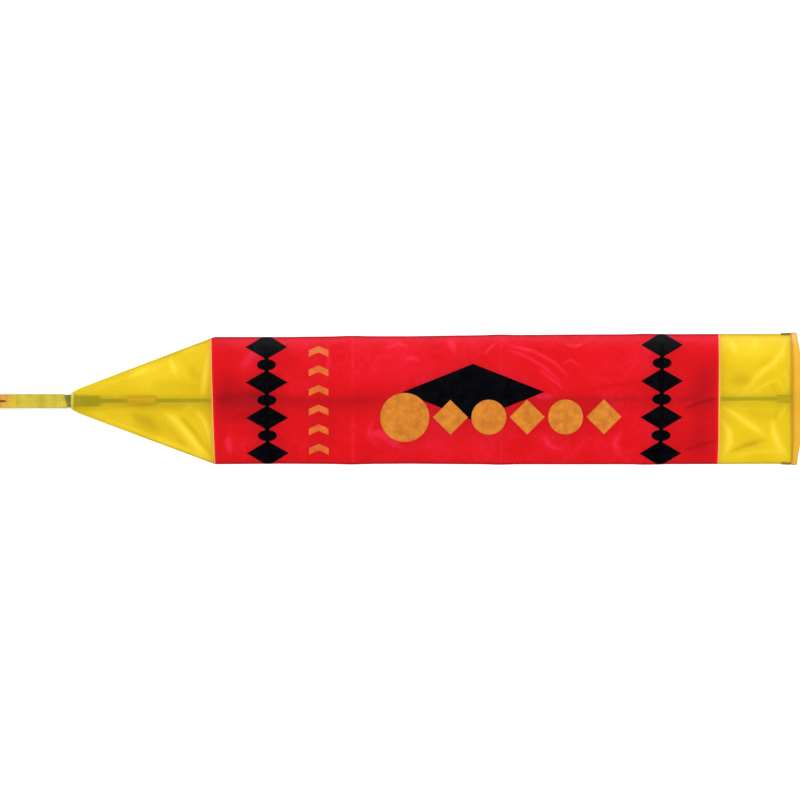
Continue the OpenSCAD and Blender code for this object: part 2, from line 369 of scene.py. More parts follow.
metal("swivel_brass", (0.56, 0.41, 0.17), (0.7, 0.54, 0.25), 0.32)
moulded("pole_fibreglass", (0.035, 0.033, 0.03), (0.085, 0.08, 0.07), 0.35, 500.0, (0.02, 1, 1))
moulded("cap_rubber", (0.012, 0.012, 0.012), (0.03, 0.03, 0.03), 0.7)
moulded("boning_plastic", (0.62, 0.62, 0.58), (0.8, 0.8, 0.76), 0.5)

# ---- Seeded gradient noise, so that the cloth comes out the same each run

TABLE_SIZE = 256


def noise_table(seed):
    angle = np.random.RandomState(seed).rand(TABLE_SIZE, TABLE_SIZE) * 2 * pi
    return np.cos(angle), np.sin(angle)


NOISE_BROAD, NOISE_CREASE, NOISE_FINE, NOISE_WARP = (noise_table(seed) for seed in (3, 11, 29, 41))


def gradient_noise(x, y, table):
    """Smooth noise from about -0.7 to 0.7, with features one unit across."""
    gx, gy = table
    xi, yi = np.floor(x).astype(int), np.floor(y).astype(int)
    fx, fy = x - xi, y - yi
    u, w = (t * t * t * (t * (t * 6 - 15) + 10) for t in (fx, fy))

    def corner(dx, dy):
        i, j = (xi + dx) % TABLE_SIZE, (yi + dy) % TABLE_SIZE
        return gx[i, j] * (fx - dx) + gy[i, j] * (fy - dy)

    near = corner(0, 0) * (1 - u) + corner(1, 0) * u
    far = corner(0, 1) * (1 - u) + corner(1, 1) * u
    return near * (1 - w) + far * w


def ridged(x, y, table):
    """Creased noise: sharp ridges between soft hollows, from 0 to 1."""
    return 1 - np.clip(np.abs(gradient_noise(x, y, table)) / 0.45, 0, 1)


# ---- The shape of the flattened sock

PACK_CREASES = ((513.0, 1.0), (786.0, 0.5), (1058.0, 0.3))    # where it was folded for packing, and how sharply
TIP_HALF = 18.5
TUBE_HALF = 117.3
CONE_FLARE = 262.0       # station where the cone reaches the tube's width


def half_width(s):
    """Half the flattened width at station s."""
    cone = TIP_HALF + (TUBE_HALF - TIP_HALF) * np.clip(s / CONE_FLARE, 0, 1)
    cone = cone - 5.5 * np.exp(-np.clip(s + 2.5, 0, 60) / 5)
    grow = 2.6 * smooth((s - 300) / 760) + 1.1 * smooth((s - 1290) / 40)
    bumps = sum(0.9 * bell((s - c) / 22.0) for c, _ in PACK_CREASES)
    waist = -0.7 * bell((s - 625) / 60.0) - 0.5 * bell((s - 380) / 60.0)
    return cone + np.where(s > CONE_FLARE, grow + bumps + waist, 0)


def crown(s):
    """Height of the upper cloth over the axis at station s."""
    rise = 12.2 + 7.3 * smooth(s / 330)
    sag = -1.6 * bell((s - 640) / 170.0) - 1.2 * bell((s - 930) / 120.0)
    return rise + sag + 1.5 * smooth((s - 1200) / 120)


# Folds of the upper cloth: height, change of tone (painted highlight where positive, painted shade where negative),
# width at the start and the end, then station and y of each point.
# The side on the left, going from the first point to the last, is the steep one.
FOLDS = (
    # tip cone
    (2.4, 0.4, 6, 12, 250, -104, 228, -86, 205, -58, 186, -36, 172, -26),
    (1.9, 0.42, 4, 8, 253, -82, 249, -60, 243, -42, 228, -20),
    (1.7, 0.42, 9, 5, 238, 10, 243, 45, 250, 92),
    (1.3, 0.34, 8, 6, 190, 46, 184, 60, 178, 76),
    (1, 0.26, 5, 5, 229, 100, 215, 92, 202, 86),
    (0.9, 0.26, 5, 5, 141, 60, 124, 52, 106, 42),
    (0.3, 0.3, 6, 3, 252, -109, 200, -88, 120, -57, 20, -19),
    (-0.9, -0.34, 14, 20, 108, -20, 140, -33, 172, -54),
    (-1.6, -0.4, 4, 7, 197, -27, 226, -57, 255, -99),
    (-0.8, -0.2, 4, 6, 170, -40, 196, -70, 225, -96),
    (-0.6, -0.26, 10, 13, 215, 68, 240, 40),
    (-0.5, -0.16, 8, 12, 150, 30, 200, 34, 244, 24),
    (0.5, 0.14, 5, 8, 56, 30, 120, 52, 200, 82),
    (0.7, 0.1, 4, 6, 60, -12, 100, -18, 150, -18),
    (0.6, 0.24, 3, 3, 30, -17, 48, -22, 66, -28),
    (0.8, 0.26, 3, 4, 226, -8, 214, -14, 206, -20),
    (0.7, 0.24, 3, 3, 172, -20, 180, -30, 192, -38),
    # tube
    (1.3, 0.8, 2.6, 3, 918, 38, 885, 68, 850, 87, 804, 98),
    (1.2, 0.72, 2.4, 2.4, 904, 26, 872, 56, 836, 78, 800, 92),
    (1.1, 0.8, 2.6, 2.6, 904, 18, 882, 36, 860, 54),
    (1.2, 0.67, 9, 2.5, 696, 109, 708, 86),
    (1, 0.8, 3, 3, 940, 100, 924, 95, 909, 100),
    (0.8, 0.64, 2.4, 2.4, 900, 66, 918, 74, 932, 62),
    (1.7, 0.85, 10, 8, 598, -86, 576, -68, 550, -62),
    (0.9, 0.32, 5, 6, 556, -34, 548, -62, 566, -92),
    (0.9, 0.67, 3, 3, 580, 96, 600, 103, 622, 98),
    (0.8, 0.54, 4, 4, 640, 70, 626, 76, 612, 72),
    (0.8, 0.54, 3, 3, 760, 82, 768, 96, 782, 104),
    (0.8, 0.48, 6, 5, 846, 16, 862, 6, 884, 8),
    (0.9, 0.48, 6, 5, 868, -64, 880, -84, 902, -92),
    (0.7, 0.35, 4, 4, 470, 104, 474, 70, 470, 40),
    (0.9, 0.35, 9, 9, 308, 60, 330, 84, 352, 88),
    (1, 0.75, 6, 6, 290, -96, 285, -80, 288, -66),
    (-1.7, -0.55, 3.4, 3.4, 1124, -19, 1146, -8, 1190, 3),
    (-1.3, -0.42, 3.2, 3.2, 1124, -94, 1152, -84, 1190, -73),
    (0.8, 0.16, 5, 5, 1126, -13, 1150, -1, 1186, 9),
    (-0.9, -0.26, 3, 3, 940, 14, 985, 25, 1045, 32),
    (0.8, 0.42, 7, 7, 1010, -60, 1000, -84, 1012, -104),
    (-0.5, -0.24, 10, 6, 268, 8, 320, 14, 420, 6),
    (-0.6, -0.2, 12, 8, 272, -34, 330, -24, 400, -30),
    # mouth panel
    (3, 0.46, 9, 4, 1274, -71, 1248, -52, 1220, -32, 1194, -14),
    (2.2, 0.46, 7, 8, 1198, -41, 1210, -58, 1213, -80, 1204, -101),
    (2.2, 0.46, 6, 9, 1289, -38, 1292, -57, 1300, -79, 1315, -100),
    (1.2, 0.34, 7, 8, 1212, 109, 1225, 88),
    (1.9, 0.36, 6, 9, 1316, 106, 1309, 83, 1295, 66, 1275, 51, 1257, 33, 1237, 10),
    (1, 0.36, 2.4, 2.4, 1303, 40, 1276, 25, 1246, 9),
    (0.8, 0.26, 6, 6, 1260, 109, 1259, 92),
    (0.6, 0.26, 5, 5, 1308, -98, 1255, -99, 1226, -105),
    (-1.5, -0.42, 4, 6, 1206, -100, 1227, -88, 1257, -78, 1276, -73),
    (-0.8, -0.34, 12, 14, 1208, 34, 1230, 40, 1254, 38),
    (-0.5, -0.22, 8, 10, 1260, 62, 1290, 74),
    (-0.7, -0.16, 12, 10, 1240, -20, 1275, -30, 1300, -24),
    (0.8, 0.26, 2.2, 3, 1312, 10, 1304, 22, 1298, 36),
    (0.8, 0.26, 2.2, 3, 1316, 14, 1314, 34, 1310, 52),
    (0.8, 0.26, 2.2, 3, 1300, -34, 1308, -22, 1314, -10),
    (-0.7, -0.24, 2, 3, 1302, 4, 1290, 16, 1284, 30),
    (-0.7, -0.24, 2, 3, 1304, -8, 1296, -24, 1292, -40),
)

# Painted shade where the change is negative and painted light where it is positive, on the upper cloth: station, y,
# reach each way, change of tone
PAINTED_LIGHT_AND_SHADE_SPOTS = (
    (310, 2, 75, 30, -0.24), (250, -60, 26, 30, -0.08), (480, 0, 120, 22, -0.14), (1160, 8, 30, 50, -0.26),
    (1165, -60, 24, 40, -0.24), (1165, 50, 24, 50, -0.18), (286, 30, 22, 80, -0.16), (1150, -90, 30, 22, -0.15),
    (905, -40, 70, 30, -0.06), (330, 4, 50, 60, -0.08),
    (120, -6, 90, 16, -0.14), (60, 4, 50, 12, -0.1), (1260, -104, 30, 14, -0.1), (400, -60, 90, 40, -0.06),
    (300, 70, 45, 36, 0.1), (640, 60, 120, 45, 0.08), (1040, 70, 80, 40, 0.06), (1170, 92, 30, 20, 0.1),
    (1250, 90, 40, 20, 0.14), (180, 56, 50, 18, 0.1), (230, -74, 22, 24, 0.1), (700, -80, 120, 26, 0.05),
)


def fold_field(s, y):
    """Height, and the painted highlight and painted shade of the tone, that the folds add at points (s, y)."""
    height, tone = 0, 0
    for rise, shade, first, last, *path in FOLDS:
        points = np.reshape(path, (-1, 2))
        near, where, side = np.inf, 0, 0
        legs = len(points) - 1
        for i in range(legs):
            a, d = points[i], points[i + 1] - points[i]
            t = np.clip(((s - a[0]) * d[0] + (y - a[1]) * d[1]) / (d @ d), 0, 1)
            gap = np.hypot(s - a[0] - t * d[0], y - a[1] - t * d[1])
            closer = gap < near
            near = np.where(closer, gap, near)
            where = np.where(closer, (i + t) / legs, where)
            side = np.where(closer, np.sign(d[0] * (y - a[1]) - d[1] * (s - a[0])), side)
        taper = np.sin(pi * np.clip(where, 0.02, 0.98)) ** 0.5
        spread = (first + (last - first) * where) * (0.55 + 0.45 * taper)
        height += rise * taper * bell(near / (spread * np.where(side > 0, 0.5, 1.0)))
        # painted highlight on the broad flank beside the crest where the change is positive, painted shade where it is
        # negative
        tone += shade * taper * bell((near * side + 0.35 * spread) / (0.8 * spread))
    return height, tone


def crumple_field(s, y):
    """Height and tone of creases too small to list: long soft waves, and crisp crumples on the tube. The tone is a
    painted highlight on the crumples' ridges.
    """
    warp = 9 * gradient_noise(s / 60 + 7, y / 60 + 2, NOISE_WARP)
    broad = 1.3 * gradient_noise(s / 95, y / 70, NOISE_BROAD)
    crumple = ridged((s * 0.82 + y * 0.57 + warp) / 46, (y * 0.82 - s * 0.57 + warp) / 24, NOISE_CREASE) ** 4
    fine = ridged((s * 0.6 - y * 0.8 + warp) / 30, (y * 0.6 + s * 0.8) / 15, NOISE_FINE) ** 5
    on_tube = smooth((s - 262) / 30) * smooth((1190 - s) / 20)
    patchy = smooth(0.5 + 1.6 * gradient_noise(s / 80 + 3, y / 50, NOISE_FINE))
    height = broad + (0.20 + 0.25 * on_tube) * crumple + (0.08 + 0.22 * on_tube) * fine
    # painted highlights on the ridges of the crumples, in patches on the tube
    return height, on_tube * patchy * (0.10 * crumple + 0.14 * fine)


def upper_z(s, y):
    """Height of the upper cloth at station s and distance y from the axis."""
    v = np.clip(np.abs(y) / half_width(s), 0, 1)
    detail = fold_field(s, y)[0] + crumple_field(s, y)[0]
    for c, sharp in PACK_CREASES:
        detail = detail + sharp * (0.5 * bell((s - c - 7) / 6.0) - bell((s - c) / 2.6))
    for line in (cone_edge(y), barrel_edge(y), hem_line(y) + 3):
        detail = detail - 0.9 * bell((s - line) / 5.0)
    dome = (crown(s) - GROUND) * (1 - v ** 3.2) ** 0.9
    return GROUND + CLOTH_GAP + dome + (1 - v ** 6) * smooth((s + 10) / 40) * detail


def lower_z(s, y):
    v = np.clip(np.abs(y) / half_width(s), 0, 1)
    return GROUND + 0.25 * (1 - v ** 4) * (0.5 + gradient_noise(s / 40, y / 40, NOISE_FINE))


def painted_light_at(s, y):
    """Painted highlights and painted shade on the cloth, about 0.5, with a painted dark line of shade down each folded
    edge.
    """
    total = 0.5 + fold_field(s, y)[1] + crumple_field(s, y)[1]
    for at, across, long, wide, change in PAINTED_LIGHT_AND_SHADE_SPOTS:
        total = total + change * np.exp(-(((s - at) / long) ** 2) - (((y - across) / wide) ** 2))
    # a painted highlight along the flank of each packing crease
    for c, sharp in PACK_CREASES:
        total = total + 0.22 * sharp * bell((s - c - 3) / 2.2) * (0.5 + np.abs(y) / TUBE_HALF)
    v = np.abs(y) / half_width(s)
    # painted shade down each folded edge
    return np.clip(total - 0.8 * smooth((v - 0.970) / 0.02), 0, 1)


def cone_edge(y):
    """Station of the seam between cone and tube, which lies a little aslant."""
    return CONE_END + 0.5 - 3.2 * y / TUBE_HALF


def barrel_edge(y):
    """Station of the seam between tube and mouth panel."""
    t = y / TUBE_HALF
    return BARREL_END + 3.0 + 1.2 * t + 0.8 * t * t


def hem_line(y):
    """Station where the mouth hem starts."""
    v = np.clip(np.abs(y) / TUBE_HALF, 0, 1)
    return BAND_END - 1.5 + 1.5 * v * v


def mouth_at(y):
    """Station of the mouth's edge, which bulges in the middle."""
    v = np.clip(np.where(y < 0, -1.07 * y, y) / (TUBE_HALF + 3), 0, 1)
    return MOUTH_END - 5.0 * smooth((v - 0.54) / 0.42) - 0.9 * v ** 8


# ---- Mesh helpers

def mesh_object(name, points, faces, tone=0.5):
    """A smooth mesh from points in frame coordinates, with a tone at each point: changes of colour, and painted
    highlights and painted shade.
    """
    mesh = bpy.data.meshes.new(name)
    mesh.from_pydata(np.reshape(points, (-1, 3)).tolist(), [], faces)
    mesh.validate()
    mesh.update()
    mesh.shade_smooth()
    tones = np.broadcast_to(np.ravel(tone), len(mesh.vertices))
    mesh.attributes.new("tone", "FLOAT", "POINT").data.foreach_set("value", tones.astype(np.float32))
    return new_object(name, mesh)


def ring_faces(rows, columns):
    """Quads between rings of points stored one after the other."""
    return [
        (i * columns + j, i * columns + (j + 1) % columns, (i + 1) * columns + (j + 1) % columns, (i + 1) * columns + j)
        for i in range(rows - 1) for j in range(columns)
    ]


def finish_piece(obj, body, material, *nodes, slot=None):
    """Gives a piece its material and body. slot is not used. body is one body, or (a, b, start, end), for which the
    piece's transform is only baked into its mesh.
    """
    obj.data.materials.append(MATERIALS[material])
    if isinstance(body, str):
        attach(obj, body)
    else:
        a, b, start, end = body
        tuple(place(start, 0, TAPE_Z))
        tuple(place(end, 0, TAPE_Z))
        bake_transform(obj)
    if nodes:
        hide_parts(*nodes)
    return obj


def face_up(obj):
    """Turns the mesh over if its faces look down."""
    if sum(p.normal.z * p.area for p in obj.data.polygons) < 0:
        obj.data.flip_normals()
    return obj


def outward(obj):
    """Turns a closed mesh inside out if its faces look inwards."""
    centre = sum((v.co for v in obj.data.vertices), Vector()) / len(obj.data.vertices)
    if sum((p.center - centre).dot(p.normal) * p.area for p in obj.data.polygons) < 0:
        obj.data.flip_normals()
    return obj


# ---- Cloth panels

TOP_COLUMNS = 97
BOTTOM_COLUMNS = 25
CLOTH_STEP = 2.6         # between rows of points
GRIDS = {}               # station, y and z of each panel's upper cloth


def ring_columns():
    """Where the columns of a panel's ring lie: share of the half width, and whether on the upper cloth."""
    even = np.linspace(-1, 1, TOP_COLUMNS)
    top = 0.35 * np.sin(even * pi / 2) + 0.65 * even
    bottom = np.linspace(1, -1, BOTTOM_COLUMNS + 2)[1:-1]
    return np.concatenate([top, bottom]), np.arange(TOP_COLUMNS + BOTTOM_COLUMNS) < TOP_COLUMNS


def panel(name, start, end, material, node):
    """One panel of the sock: a tube of cloth from the station start(y) to end(y)."""
    share, upper = ring_columns()
    first, last = start(0.0), end(0.0)
    rows = round((last - first) / CLOTH_STEP) + 1
    t = np.linspace(0, 1, rows)[:, None]
    y = share * half_width(first + t * (last - first))
    s = start(y) + t * (end(y) - start(y))
    y = share * half_width(s)
    z = np.where(upper, upper_z(s, y), lower_z(s, y))
    obj = mesh_object(name, place(s, y, z), ring_faces(rows, len(share)), painted_light_at(s, y))
    GRIDS[name] = [grid[:, :TOP_COLUMNS] for grid in (s, y, z)]
    return finish_piece(outward(obj), "sock", material, node)


def band_round(name, profile_at, material, node, slot=None, tone=0.5):
    """A narrow band round the sock. profile_at(y) gives a closed list of (station, out) pairs."""
    share, upper = ring_columns()
    rows = []
    for along, out in profile_at(share * TUBE_HALF):
        s = np.broadcast_to(along, share.shape)
        y = share * half_width(s)
        z = np.where(upper, upper_z(s, y), lower_z(s, y))
        edge = smooth((np.abs(share) - 0.97) / 0.03)
        lift = np.where(upper, 1.0, -0.15) * out * (1 - 0.5 * edge)
        rows.append(place(s, y + np.sign(share) * edge * out, z + lift))
    count = len(share)
    faces = ring_faces(len(rows), count)
    last = (len(rows) - 1) * count
    faces += [(last + j, last + (j + 1) % count, (j + 1) % count, j) for j in range(count)]
    tones = np.repeat(np.broadcast_to(tone, len(rows)), count)
    obj = mesh_object(name, np.array(rows), faces, tones)
    return finish_piece(outward(obj), "sock", material, node, slot=slot)


def welt_profile(edge, width, inner):
    """A lapped seam: a low rounded welt outside, and the folded allowance inside."""
    height = 0.45
    outline = ((-width / 2, -0.1), (-width / 2, height / 2), (-width / 4, height), (width / 4, height),
               (width / 2, height / 2), (width / 2, -0.1), (inner / 2, -0.7), (inner, -0.8), (inner, -1.3),
               (inner / 2, -1.2), (0, -0.9))
    return lambda y: [(edge(y) + along, out) for along, out in outline]


def across_hem(outline):
    """A profile whose stations are shares of the hem's width."""
    return lambda y: [(hem_line(y) + (mouth_at(y) - hem_line(y)) * along, out) for along, out in outline]


def hem_outline():
    """The mouth hem: cloth folded round a stiffener, a stitched line, and a rounded outer edge."""
    outline = [(0, 0.3), (0.08, 0.8), (0.18, 0.7), (0.26, 1.15), (0.7, 1.2)]
    outline += [(0.7 + 0.3 * sin(a), 1.25 * cos(a) - 0.1) for a in np.linspace(0.3, pi - 0.3, 7)]
    return outline + [(0.7, -1.4), (0.26, -1.35), (0, -1.0)]


def rim_profile(_):
    """The rolled rim of the tip."""
    return [(0.4 - 2.6 * cos(a), 0.9 * sin(a) + 0.2) for a in np.linspace(0, 2 * pi, 12, endpoint=False)]


def make_panels():
    cone = panel("tip_cone_cloth", lambda y: 1.5 + 0 * y, cone_edge, "yellow_nylon", "tip_cone")
    barrel = panel("barrel_cloth", cone_edge, barrel_edge, "red_nylon", "barrel")
    band = panel("base_band_cloth", barrel_edge, lambda y: hem_line(y) + 1, "yellow_nylon", "base_band")
    # The seam welts are painted pale orange as a highlight.
    band_round("cone_seam_welt", welt_profile(cone_edge, 2.2, 8.0), "seam_welt_painted_highlight", "cone_seam", "seam_yellow")
    band_round("band_seam_welt", welt_profile(barrel_edge, 2.8, -8.0), "seam_welt_painted_highlight", "band_seam", "seam_red")
    # The hem's first rows, along the step at its inner edge, are painted dark as shade.
    hem_tone = [0.0, 0.0, 0.2, 0.5, 0.65] + 10 * [0.6]
    hem = band_round("mouth_hem_cloth", across_hem(hem_outline()), "hem_nylon", "mouth_hem", tone=hem_tone)
    stiffener = ((0.3, 0.5), (0.8, 0.5), (0.8, -0.7), (0.3, -0.7))
    band_round("mouth_boning_strip", across_hem(stiffener), "boning_plastic", "mouth_boning")
    band_round("tip_rim_roll", rim_profile, "rim_binding", "tip_rim")
    return cone, barrel, band, hem


# ---- Prints, cut out of the tube's own surface

DIAMOND = (77.0, 45.0)   # along the sock and across it, for a row with a pitch of 65
DIAMOND_OUTER = 23.5     # how far the outer diamonds reach past their middles
OVAL = (35.0, 20.5)
NECK_W = 7.0
MARK_SIZE = (36.0, 20.0)
MARK_PITCH = 36.0
DISC = 90.0              # the row's large disc
BEAD = 64.0              # the small discs and lozenges after it
BEAD_PITCH = 70.5
BEAD_FIRST = 129.0       # from the start of the row to the first bead's middle
BEAD_Y = -32.0
SHADE_SIZE = (262.0, 104.0)
SHADE_Y = 14.0


def kite(centre, length, low, high):
    """A diamond that reaches low and high from its centre across the sock."""
    s, y = centre
    return [(s - length / 2, y), (s, y - low), (s + length / 2, y), (s, y + high)]


def oval(centre, extent, n=40):
    angles = [2 * pi * (i + 0.5) / n for i in range(n)]
    return [(centre[0] + cos(a) * extent[0] / 2, centre[1] + sin(a) * extent[1] / 2) for a in angles]


def clip(polygon, a, b):
    """The part of a polygon on the left of the line from a to b."""
    kept = []
    side = [(b[0] - a[0]) * (p[1] - a[1]) - (b[1] - a[1]) * (p[0] - a[0]) for p in polygon]
    for i, p in enumerate(polygon):
        j = (i + 1) % len(polygon)
        if side[i] >= 0:
            kept.append(p)
        if side[i] * side[j] < 0:
            kept.append(p + (polygon[j] - p) * (side[i] / (side[i] - side[j])))
    return kept


def raised_corners(grid, stand_off):
    """Station, y and z of each grid point, then the same moved off the cloth along its normal."""
    points = np.stack(grid, -1)
    normal = np.cross(np.gradient(points, axis=0), np.gradient(points, axis=1))
    normal /= np.linalg.norm(normal, axis=-1, keepdims=True)
    normal *= np.sign(normal[..., 2:])
    return np.concatenate([points[..., :2], points + normal * stand_off], -1)


def cut_from_cloth(outline, corners):
    """One convex print, cut out of the panel's own triangles."""
    low, high = np.min(outline, axis=0), np.max(outline, axis=0)
    quads = np.stack([corners[:-1, :-1], corners[1:, :-1], corners[1:, 1:], corners[:-1, 1:]], 2)
    near_s, near_y = ((quads[..., k].max(2) > low[k]) & (quads[..., k].min(2) < high[k]) for k in (0, 1))
    pieces = []
    for cell in quads[near_s & near_y]:
        for triangle in (cell[[0, 1, 2]], cell[[0, 2, 3]]):
            polygon = list(triangle)
            for a, b in zip(outline, outline[1:] + outline[:1]):
                polygon = clip(polygon, a, b)
                if len(polygon) < 3:
                    break
            else:
                pieces.append(polygon)
    return pieces


def print_piece(node, outlines, material, slot=None, stand_off=INK):
    """One print of several convex outlines, with points shared where its faces meet."""
    corners = raised_corners(GRIDS["barrel_cloth"], stand_off)
    index, points, faces = {}, [], []
    for outline in outlines:
        for polygon in cut_from_cloth(outline, corners):
            face = []
            for p in polygon:
                at = index.setdefault((round(p[0], 3), round(p[1], 3)), len(points))
                if at == len(points):
                    points.append(p[2:])
                if at not in face:
                    face.append(at)
            if len(face) > 2:
                faces.append(face)
    obj = mesh_object(node + "_print", place(*np.transpose(points)), faces)
    finish_piece(face_up(obj), "sock", material, node, slot=slot)


def diamond_row(node, lean, pitch, shift):
    """Outlines of one row: diamonds and ovals in turn across the sock, joined by a neck."""
    station = middle(node)
    inner, outer = DIAMOND[1] / 2 * pitch / 65, DIAMOND_OUTER
    outlines = []
    for i, low, high in ((-1.5, outer, inner), (-0.5, inner, inner), (0.5, inner, inner), (1.5, inner, outer)):
        y = i * pitch + shift
        outlines.append(kite((station + lean * y, y), DIAMOND[0], low, high))
    for i in (-1, 0, 1):
        y = i * pitch + shift
        outlines.append(oval((station + lean * y, y), OVAL))
    end, half = 1.5 * pitch, NECK_W / 2
    neck = ((-1, -half), (-1, half), (1, half), (1, -half))
    outlines.append([(station + side * lean * end + edge, shift + side * end) for side, edge in neck])
    return outlines


def chevrons():
    """A column of chevrons, each one two convex halves."""
    station = middle("side_mark")
    x, y = MARK_SIZE[0] / 2, MARK_SIZE[1] / 2
    outlines = []
    for i in range(6):
        c = (i - 2.5) * MARK_PITCH
        outlines.append([(station - x, c - y), (station, c - y / 5), (station, c + y), (station - x, c + y / 5)])
        outlines.append([(station, c - y / 5), (station + x, c - y), (station + x, c + y / 5), (station, c + y)])
    return outlines


def emblem_row():
    """A large disc, then lozenges and discs in turn."""
    start = span("emblem_row")[0]
    outlines = [oval((start + DISC / 2, BEAD_Y), (DISC, DISC), 56)]
    for i in range(5):
        centre = (start + BEAD_FIRST + i * BEAD_PITCH, BEAD_Y)
        outlines.append(oval(centre, (BEAD, BEAD), 48) if i % 2 else kite(centre, BEAD, BEAD / 2, BEAD / 2))
    return outlines


def make_prints():
    shade = kite((middle("emblem_shade"), SHADE_Y), SHADE_SIZE[0], SHADE_SIZE[1] / 2, SHADE_SIZE[1] / 2)
    print_piece("diamonds_tip", diamond_row("diamonds_tip", -0.010, 65.0, 0.5), "black_print")
    print_piece("diamonds_base", diamond_row("diamonds_base", 0.020, 66.5, 0.0), "black_print")
    print_piece("side_mark", chevrons(), "orange_mark", "orange_print")
    print_piece("emblem_row", emblem_row(), "orange_print", stand_off=2 * INK)
    print_piece("emblem_shade", [shade], "black_print")


# ---- Webbing, seams and stitching

def swept(name, sections, body, material, *nodes, tone=0.5):
    """A closed solid through sections, each a list of (s, y, z). tone is one number, or one a section or a point."""
    sections = np.array(sections, float)
    tone = np.array(tone, float)
    rows, count = sections.shape[:2]
    faces = ring_faces(rows, count)
    faces.append(tuple(range(count))[::-1])
    faces.append(tuple((rows - 1) * count + j for j in range(count)))
    tones = np.broadcast_to(tone[:, None] if tone.ndim == 1 else tone, (rows, count))
    obj = mesh_object(name, place(*np.moveaxis(sections, -1, 0)), faces, tones)
    finish_piece(outward(obj), body, material, *nodes)


def tape_outline(width, thick):
    """Cross-section of a woven tape: (y, z) pairs with rounded selvedges."""
    y, z, soft = width / 2, thick / 2, thick * 0.45
    upper = [(-y, 0), (-y + 0.25 * soft, 0.7 * z), (-y + soft, z), (-y + 3 * soft, 0.86 * z)]
    upper += [(share * (y - 4 * soft), 0.92 * z) for share in (-0.6, 0.0, 0.6)]
    upper += [(-py, pz) for py, pz in reversed(upper[:4])]
    return upper + [(py, -pz) for py, pz in reversed(upper[1:-1])]


def tape(name, stations, z_at, width_at, thick, tone_at_s, slant, *finish):
    """A tape along the axis that waves a little, with selvedges painted darker as shade and its first end cut aslant.
    """
    sections, tones = [], []
    for s in stations:
        drift = 0.15 * sin(s / 17.0) + 0.08 * sin(s / 6.3 + 1)
        roll = 0.010 * sin(s / 21.0)
        cut = slant * smooth(1 - (stations[0] - s) / 18)
        outline = tape_outline(width_at(s), thick)
        sections.append([(s - cut * y, y + drift, z_at(s) + z + roll * y) for y, z in outline])
        # painted shade on the selvedges
        tones.append([tone_at_s(s) - (0.3 if abs(y) > 0.46 * width_at(s) else 0) for y, _ in outline])
    swept(name, sections, *finish, tone=tones)


def offset_loop(line, half):
    """A closed outline half a thickness each side of an open (y, z) line."""
    line = np.array(line, float)
    d = np.gradient(line, axis=0)
    n = np.stack([-d[:, 1], d[:, 0]], -1) / np.linalg.norm(d, axis=1)[:, None]
    return [tuple(p) for p in np.concatenate([line + n * half, (line - n * half)[::-1]])]


SLEEVE_T = 0.8           # thickness of a sleeve's webbing


def sleeve_line(width, base):
    """Middle line of a webbing sleeve: wings on the back seam and a hump over the pole."""
    r = size("pole_upper", 1) / 2 + 0.1 + SLEEVE_T / 2
    wing = [(-width / 2, base), (-width / 2 + 1.6, base), (-r - 1.6, base), (-r - 0.3, base + 0.9), (-r, POLE_Z - 1.6)]
    arch = [(-r * cos(a), POLE_Z + r * sin(a)) for a in np.linspace(0, pi, 15)]
    return wing + arch + [(-y, z) for y, z in reversed(wing)]


def sleeve(name, ends, width, material, node):
    """A webbing sleeve on the back seam. Returns the height of its wings' upper face."""
    base = GROUND + 1.6
    outline = offset_loop(sleeve_line(width, base), SLEEVE_T / 2)
    sections = [[(s, y, z) for y, z in outline] for s in np.linspace(*ends, 12)]
    # the green sleeve inside the sock is painted darker as shade
    swept(name, sections, "sock", material, node, tone=0.15 if material == "green_webbing" else 0.5)
    return base + SLEEVE_T / 2


STITCH_LONG = 2.6
STITCH_PITCH = 3.8
STITCH_WIDE = 0.5
STITCH_SIDES = 6


def stitches(name, runs, yarn, slot, body="sock", high=0.2):
    """Thread along runs, each a function of the distance that gives (s, y, z), with its length."""
    points, faces = [], []
    for at, length in runs:
        for i in range(max(1, int(length / STITCH_PITCH))):
            a, b = (np.array(at(i * STITCH_PITCH + d), float) for d in (0, STITCH_LONG))
            along = (b - a) / np.linalg.norm(b - a)
            across = np.cross(along, (0, 0, 1))
            across /= np.linalg.norm(across)
            up = np.cross(across, along)
            start = len(points)
            points += [a, b]
            for turn in range(STITCH_SIDES):
                angle = turn * 2 * pi / STITCH_SIDES
                ring = across * STITCH_WIDE / 2 * cos(angle) + up * high * sin(angle)
                points.append((a + b) / 2 + ring)
                p, q = start + 2 + turn, start + 2 + (turn + 1) % STITCH_SIDES
                faces += [(start, q, p), (start + 1, p, q)]
    obj = mesh_object(name, place(*np.transpose(points)), faces)
    finish_piece(obj, body, yarn, slot=slot)


def ring_run(edge, offset, above, lift):
    """Thread across the upper or the lower cloth, a set distance from a seam, and lifted off the upper one."""
    reach = TUBE_HALF - 1.5

    def at(distance):
        y = np.clip(distance - reach, -reach, reach)
        s = edge(y) + offset
        z = upper_z(s, y) + lift if above else lower_z(s, y) - 0.1
        return s, y, z
    return at, 2 * TUBE_HALF - 4


def line_run(a, b, z_at):
    """Thread along a straight line between (s, y) points, at the height z_at(s)."""
    a, b = np.array(a, float), np.array(b, float)
    length = float(np.linalg.norm(b - a))

    def at(distance):
        s, y = a + (b - a) * min(distance / length, 1.0)
        return s, y, z_at(s)
    return at, length


def box_runs(s0, s1, half, z_at):
    """A sewn box with a cross in it."""
    corners = [(s0, -half), (s1, -half), (s1, half), (s0, half)]
    lines = list(zip(corners, corners[1:] + corners[:1])) + [(corners[0], corners[2]), (corners[1], corners[3])]
    return [line_run(a, b, z_at) for a, b in lines]


FELL_T = 0.66            # thickness of a back seam's folded cloth


